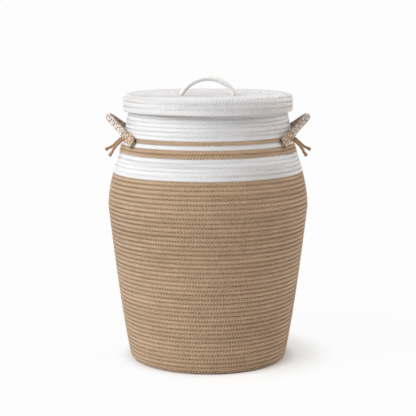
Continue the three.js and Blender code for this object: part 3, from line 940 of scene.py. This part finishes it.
def wall_outward(path):
    """The way out of the wall at each place."""
    above, below = (wall_radius_at(path[:, 2] + way * slope_reach) for way in (1, -1))
    slope = (above - below) / (2 * slope_reach)
    return unit(np.stack([path[:, 0], path[:, 1], -slope * np.hypot(path[:, 0], path[:, 1])], axis=1))


share = np.linspace(0, 1, rope_end_steps)
pressed = np.clip(share ** 1.2 * (3 - 2 * share ** 1.2) * share ** 0.2, 0, 1)
end_points = beside_wall(
    handle_spread + (end_angle - handle_spread) * share,
    handle_height - rope_end_drop * (2 * share * (1 - share) / 3 + share ** 2),
    handle_stand_off + (rope_end_half_thickness + rope_end_gap - handle_stand_off) * pressed,
)
end_points = end_points[lengths_along(end_points) > rope_end_set_back]
end_run = float(lengths_along(end_points)[-1])


def flattening(run):
    """How far the rope is pressed from round to flat, from its foot on."""
    x = np.clip((run - flattening_start) / (flattening_share * end_run), 0, 1)
    return x * x * (3 - 2 * x)


def near_ends(run, tip_length):
    """Shares that grow over the last stretch before the tip and before the foot."""
    return np.clip((run - end_run + tip_length) / tip_length, 0, 1), np.clip(1 - run / pinched_foot, 0, 1)


def end_width(run):
    tip, foot = near_ends(run, rounded_width)
    width = handle_rope_radius + (rope_end_half_width - handle_rope_radius) * flattening(run)
    return width * np.sqrt((1 - 0.8 * tip ** 2) * (1 - 0.4 * foot ** 2))


def end_thickness(run):
    tip, foot = near_ends(run, rounded_thickness)
    thickness = handle_rope_radius + (rope_end_half_thickness - handle_rope_radius) * flattening(run)
    return thickness * np.sqrt((1 - np.minimum(tip, 0.97) ** 2) * (1 - 0.6 * foot ** 2))


end_tan = (0.33, 0.205, 0.115)
end_finish = braid_finish("sewn_rope", (0.78, 0.64, 0.50), end_tan, core_shade, 0.5, 0.0)
# Near-black thread; its colour is painted shade at the corners of the rope's end.
corner_shade_finish = coiled_finish(
    "corner_shade_thread", (0.10, 0.065, 0.04), (0.06, 0.04, 0.025), (0.02, 0.015, 0.01),
    strand_shade_share=0.2, groove_shade_share=0.0, strand_depth=0.2,
)
rope, core = braided("right_front_end", end_points, wall_outward, end_width, end_thickness, 0.004)
stitches_a_corner = 3
corner_stitch_set_back = 0.0010
corner_stitch_spacing = 0.0013
corner_stitch_aside = 0.56 * rope_end_half_width
corner_stitch_half_span = 0.0022
corner_stitch_shift = 0.0016
corner_stitch_rise = 0.0030
corner_stitch_sink = 0.0012
corner_stitch_fall = 0.0016
corner_stitch_steps = 10
corner_thread_radius = 0.00075
tip_path = resampled(end_points, braid_step)[0]
tip_way = unit(tip_path[-1] - tip_path[-4])
tip_outer = wall_outward(tip_path[-1:])[0]
tip_beside = np.cross(tip_outer, tip_way)
corner_stitches = []
for corner in (-1, 1):
    for number in range(stitches_a_corner):
        set_back = corner_stitch_set_back + corner_stitch_spacing * number
        middle = tip_path[-1] - tip_way * set_back + tip_beside * corner * corner_stitch_aside
        over = []
        for step in range(corner_stitch_steps + 1):
            share = step / corner_stitch_steps
            aside = corner * (corner_stitch_shift - corner_stitch_half_span * math.cos(math.pi * share))
            rise = corner_stitch_rise * math.sin(math.pi * share) * (1 - 0.35 * share)
            lift = rise - corner_stitch_fall * share - corner_stitch_sink
            over.append(middle + tip_beside * aside + tip_outer * lift)
        corner_stitches.append(tube_along(
            f"right_front_stitch_{len(corner_stitches)}", over, np.full(len(over), corner_thread_radius), 8,
            tip_way,
        ))
end_parts = [(rope, end_finish, "braided_rope"), (core, core_finish, "braided_rope")]
end_parts += [(stitch, corner_shade_finish, "lashing_cord") for stitch in corner_stitches]
for piece, finish, slot in end_parts:
    name = piece.name.removeprefix("right_front_")
    back = mirrored(piece, f"right_back_{name}", to_back)
    at_feet = {
        "right_front": piece,
        "right_back": back,
        "left_front": mirrored(piece, f"left_front_{name}", to_left),
        "left_back": mirrored(back, f"left_back_{name}", to_left),
    }
    for foot, shown in at_feet.items():
        dressed(shown, "basket", finish, slot, *([f"{foot}_rope_end"] if piece is rope else []))

# Knots and tails. Jute cord lashes each foot of the handles to the wall. It is knotted below the
# foot, and its loose end sticks out and droops. The tails' routes are in millimetres outward, in
# toward the middle of the handle, and up.
tail_radius = 0.0026
tail_step = 0.0008
tail_flare = 0.5
tail_flare_length = 0.009
tail_tip = 0.0012
tail_tip_inset = 0.0003
tail_swell = 1.05
route_samples = 300
knot_radius = 0.0036
knot_gap = 0.0003
knot_lift = 0.001
knot_inset = 0.0095
knot_drop = 0.012
knot_swing = 0.0018
knot_bulge = 0.0008
knot_depth = 0.0013
knot_stand_off = 0.0006
knot_cord_radius = 0.0014
knot_steps = 110
twist_lay = 0.0095
tail_routes = {
    "front": [
        (0, 0, 0), (4, 0, -1.5), (12.4, 0.5, -9.1), (18.3, 1, -16), (23.3, 1.5, -24.8), (28.3, 2, -31.7),
    ],
    "back": [
        (0, 0, 0), (4, 0, -1), (12.5, 0, -7.5), (22.9, 0.5, -16.8), (31.1, 1, -24), (45.1, 2, -31.2),
    ],
}
# The third colour is painted shade in the gaps between strands.
tail_finish = coiled_finish(
    "lashing_cord", (0.54, 0.35, 0.22), (0.38, 0.23, 0.14), (0.20, 0.11, 0.06),
    strand_shade_share=0.25, groove_shade_share=0.0, strand_depth=0.3,
)


def smooth_through(points, count):
    """A smooth line through points, by a Catmull-Rom curve."""
    points = np.array(points, dtype=float)
    gaps = np.linalg.norm(np.diff(points, axis=0), axis=1) ** 0.5
    times = np.concatenate([[0], np.cumsum(gaps)])
    slopes = np.empty_like(points)
    for index in range(len(points)):
        before, after = max(index - 1, 0), min(index + 1, len(points) - 1)
        slopes[index] = (points[after] - points[before]) / (times[after] - times[before])
    places = []
    for time in np.linspace(0, times[-1], count):
        index = min(int(np.searchsorted(times, time, side="right")) - 1, len(points) - 2)
        span = times[index + 1] - times[index]
        x = (time - times[index]) / span
        from_first = (2 * x ** 3 - 3 * x ** 2 + 1) * points[index]
        from_last = (3 * x ** 2 - 2 * x ** 3) * points[index + 1]
        bend = (x ** 3 - 2 * x ** 2 + x) * slopes[index] + (x ** 3 - x ** 2) * slopes[index + 1]
        places.append(from_first + from_last + span * bend)
    return np.array(places)


def twisted(angle, run):
    """Three strands that wind round each other."""
    return 1 + 0.07 * np.cos(3 * angle - 2 * math.pi * run / twist_lay)


knot_height = handle_height - knot_drop
knot_distance = float(wall_radius_at(knot_height)) + knot_lift
knot_side = pivot_side - knot_inset
knot_out = math.sqrt(knot_distance ** 2 - knot_side ** 2)
for leg, way_side in (("front", -1), ("back", 1)):
    knot_middle = np.array((knot_out, way_side * knot_side, knot_height))
    turn = np.linspace(0, 2 * math.pi, knot_steps)
    swing = knot_swing + knot_bulge * np.cos(3 * turn)
    looped = knot_middle + np.stack([
        knot_depth * np.sin(3 * turn) + knot_stand_off, swing * np.cos(2 * turn), swing * np.sin(2 * turn),
    ], axis=1)
    knot_radii = np.full(knot_steps, knot_cord_radius)
    knot = tube_along(f"right_{leg}_knot_loops", looped, knot_radii, 10, (1, 0, 0))
    leaving = knot_middle + np.array((knot_radius + knot_gap, 0, 0))
    route = [
        leaving + np.array((out, -way_side * inward, up)) / 1000 for out, inward, up in tail_routes[leg]
    ]
    tail_points = resampled(smooth_through(route, route_samples), tail_step)[0]
    to_tip = np.linspace(1, 0, len(tail_points)) * tail_step * (len(tail_points) - 1)
    flare = tail_swell + tail_flare * np.clip(1 - to_tip / tail_flare_length, 0, 1) ** 1.4
    tip_end = rounded_end(to_tip + tail_tip_inset, tail_tip + tail_tip_inset)
    tail_radii = tail_radius * flare * np.where(to_tip < tail_tip, tip_end, 1)
    tail = tube_along(f"right_{leg}_loose_tail", tail_points, tail_radii, 18, (0, 1, 0), twisted)
    left_knot = mirrored(knot, f"left_{leg}_knot_loops", to_left)
    left_tail = mirrored(tail, f"left_{leg}_loose_tail", to_left)
    for hand, lashing, shown, way in (
        ("right", knot, tail, (1, 1, 1)), ("left", left_knot, left_tail, to_left),
    ):
        dressed(lashing, "basket", tail_finish, "lashing_cord", f"{hand}_{leg}_knot")
        dressed(shown, "basket", tail_finish, "lashing_cord", f"{hand}_{leg}_tail")
        path = [tuple(map(float, point * way)) for point in (*tail_points[::6], tail_points[-1])]
